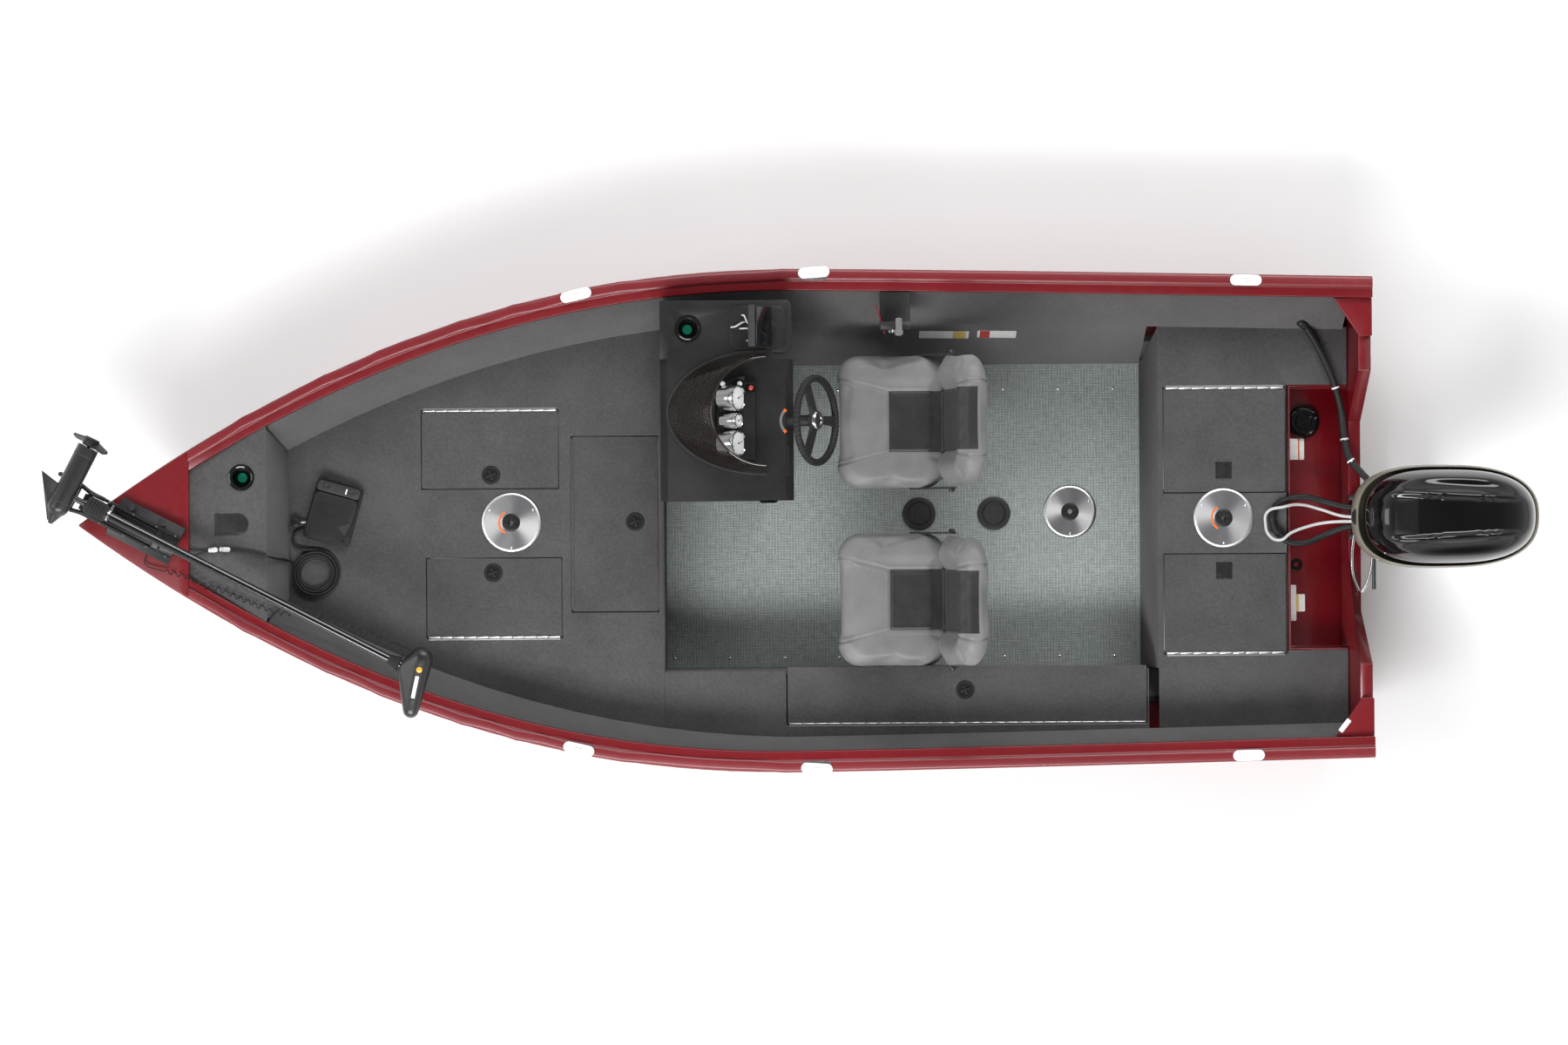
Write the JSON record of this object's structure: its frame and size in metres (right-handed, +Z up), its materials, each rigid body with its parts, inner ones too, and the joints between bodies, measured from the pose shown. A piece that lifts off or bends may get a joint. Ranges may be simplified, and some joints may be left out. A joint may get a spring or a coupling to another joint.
{
  "type": "aluminium fishing boat",
  "caption": "Open aluminium fishing boat with side console, swivel seats, storage hatches, tilting outboard motor and stowed bow trolling motor.",
  "frame": {"origin": "on the waterline, on the centreline, at the station of the largest beam", "axes": "+X to the bow, +Y to port, +Z up"},
  "size_m": [5.8355, 1.98, 1.4944],
  "materials": {
    "bin_liner": "plain rolled aluminium",
    "black_plastic": "black moulded plastic, fine grain",
    "brushed_plate": "brushed, turned plate",
    "carpet": "charcoal marine carpet with short loops",
    "console_plastic": "dark grey moulded plastic, leather grain",
    "cord_rubber": "black cable jacket and hose",
    "cowl_gloss": "gloss black",
    "cowl_trim": "champagne grey gloss",
    "engine_iron": "plain cast block",
    "floor_vinyl": "grey-green woven vinyl floor",
    "hull_metal": "deep red gloss paint on aluminium",
    "hull_paint": "deep red gloss paint on aluminium",
    "motor_paint": "black satin paint on cast aluminium",
    "post_paint": "black powder coat",
    "prop_paint": "black paint",
    "rail_paint": "red powder coat on an aluminium extrusion",
    "seat_vinyl": "grey marine vinyl with charcoal panels",
    "smoked_acrylic": "smoked clear acrylic",
    "wheel_rubber": "black grained rubber rim"
  },
  "bodies": {
    "hull": {"hull_bottom": "hull_metal", "hull_side_port": "hull_paint", "hull_side_starboard": "hull_paint", "bow_stem": "hull_paint", "transom": "hull_paint", "gunwale_port": "rail_paint", "gunwale_starboard": "rail_paint", "bow_cap": "rail_paint", "transom_caps": "rail_paint", "side_liner_port": "carpet", "side_liner_starboard": "carpet", "cockpit_floor": "floor_vinyl", "casting_deck": "carpet", "bow_platform": "carpet", "storage_bins": "bin_liner", "rod_locker": "carpet", "aft_deck": "carpet", "splash_well": "hull_paint", "seat_bases": "brushed_plate", "floor_caps": "black_plastic", "cup_holders": "black_plastic", "cleats": "brushed_plate", "console_body": "console_plastic", "dash_panel": "black_plastic", "windscreen": "smoked_acrylic", "display_unit": "black_plastic", "steering_column": "black_plastic", "throttle_control": "black_plastic", "seat_posts": "post_paint", "clamp_bracket": "motor_paint", "trolling_mount": "black_plastic", "foot_pedal": "black_plastic", "pedal_cable": "cord_rubber", "pedal_cable_coil": "cord_rubber", "curly_cord": "cord_rubber", "control_cable": "cord_rubber", "rigging_hoses": "cord_rubber"},
    "bow_hatch_starboard": {"bow_hatch_starboard": "carpet"},
    "bow_hatch_port": {"bow_hatch_port": "carpet"},
    "bow_hatch_centre": {"bow_hatch_centre": "carpet"},
    "rod_locker_lid": {"rod_locker_lid": "carpet"},
    "aft_hatch_starboard": {"aft_hatch_starboard": "carpet"},
    "aft_hatch_port": {"aft_hatch_port": "carpet"},
    "steering_wheel": {"steering_wheel": "wheel_rubber"},
    "driver_seat": {"driver_seat_cushion": "seat_vinyl"},
    "driver_back": {"driver_seat_back": "seat_vinyl"},
    "passenger_seat": {"passenger_seat_cushion": "seat_vinyl"},
    "passenger_back": {"passenger_seat_back": "seat_vinyl"},
    "tilt_bracket": {"swivel_bracket": "motor_paint"},
    "outboard": {"motor_cowl": "cowl_gloss", "motor_pan": "cowl_trim", "engine_block": "engine_iron", "motor_leg": "motor_paint", "gearcase": "motor_paint"},
    "propeller": {"propeller": "prop_paint"},
    "trolling_arm": {"trolling_arm": "black_plastic"},
    "trolling_shaft": {"trolling_tube": "black_plastic", "trolling_head": "black_plastic"},
    "trolling_lower": {"trolling_pod": "motor_paint"},
    "trolling_propeller": {"trolling_propeller": "prop_paint"}
  },
  "joints": [
    {"name": "bow_hatch_starboard_hinge", "type": "hinge", "parent": "hull", "child": "bow_hatch_starboard", "pos_m": [1.17, -0.448, 0.352], "axis": [-1, 0, 0], "range_deg": [-90, 0]},
    {"name": "bow_hatch_port_hinge", "type": "hinge", "parent": "hull", "child": "bow_hatch_port", "pos_m": [1.16, 0.458, 0.352], "axis": [1, 0, 0], "range_deg": [-90, 0]},
    {"name": "bow_hatch_centre_hinge", "type": "hinge", "parent": "hull", "child": "bow_hatch_centre", "pos_m": [0.846, 0, 0.352], "axis": [0, -1, 0], "range_deg": [-90, 0]},
    {"name": "rod_locker_hinge", "type": "hinge", "parent": "hull", "child": "rod_locker_lid", "pos_m": [-0.73, 0.813, 0.352], "axis": [1, 0, 0], "range_deg": [-90, 0]},
    {"name": "aft_hatch_starboard_hinge", "type": "hinge", "parent": "hull", "child": "aft_hatch_starboard", "pos_m": [-1.75, -0.519, 0.352], "axis": [-1, 0, 0], "range_deg": [-90, 0]},
    {"name": "aft_hatch_port_hinge", "type": "hinge", "parent": "hull", "child": "aft_hatch_port", "pos_m": [-1.75, 0.54, 0.352], "axis": [1, 0, 0], "range_deg": [-90, 0]},
    {"name": "driver_seat_swivel", "type": "hinge", "parent": "hull", "child": "driver_seat", "pos_m": [-0.54, -0.389, 0.395], "axis": [0, 0, 1], "continuous": true},
    {"name": "driver_back_fold", "type": "hinge", "parent": "driver_seat", "child": "driver_back", "pos_m": [-0.66, -0.389, 0.561], "axis": [0, 1, 0], "range_deg": [0, 100]},
    {"name": "passenger_seat_swivel", "type": "hinge", "parent": "hull", "child": "passenger_seat", "pos_m": [-0.54, 0.316, 0.395], "axis": [0, 0, 1], "continuous": true},
    {"name": "passenger_back_fold", "type": "hinge", "parent": "passenger_seat", "child": "passenger_back", "pos_m": [-0.66, 0.316, 0.561], "axis": [0, 1, 0], "range_deg": [0, 100]},
    {"name": "outboard_tilt", "type": "hinge", "parent": "hull", "child": "tilt_bracket", "pos_m": [-2.345, 0, 0.42], "axis": [0, 1, 0], "range_deg": [0, 65]},
    {"name": "outboard_steer", "type": "hinge", "parent": "tilt_bracket", "child": "outboard", "pos_m": [-2.42, 0, 0.28], "axis": [0, 0, 1], "range_deg": [-35, 35]},
    {"name": "propeller_spin", "type": "hinge", "parent": "outboard", "child": "propeller", "pos_m": [-2.725, 0, -0.343], "axis": [1, 0, 0], "continuous": true},
    {"name": "steering_wheel_turn", "type": "hinge", "parent": "hull", "child": "steering_wheel", "pos_m": [-0.128, -0.389, 0.735], "axis": [0.8829, 0, -0.4695], "range_deg": [-540, 540]},
    {"name": "trolling_deploy", "type": "hinge", "parent": "hull", "child": "trolling_arm", "pos_m": [2.72, -0.088, 0.69], "axis": [0.4607, 0.8876, 0], "range_deg": [0, 90]},
    {"name": "trolling_depth", "type": "slide", "parent": "trolling_arm", "child": "trolling_shaft", "axis": [0.8876, -0.4607, 0], "range_m": [0, 0.9]},
    {"name": "trolling_steer", "type": "hinge", "parent": "trolling_shaft", "child": "trolling_lower", "pos_m": [2.79012, -0.12439, 0.745], "axis": [0.8876, -0.4607, 0], "range_deg": [-90, 90]},
    {"name": "trolling_propeller_spin", "type": "hinge", "parent": "trolling_lower", "child": "trolling_propeller", "pos_m": [2.79012, -0.12439, 0.745], "axis": [0.4607, 0.8876, 0], "continuous": true}
  ],
  "couplings": [
    {"joint": "steering_wheel_turn", "follows": "outboard_steer", "ratio": 15.42}
  ]
}
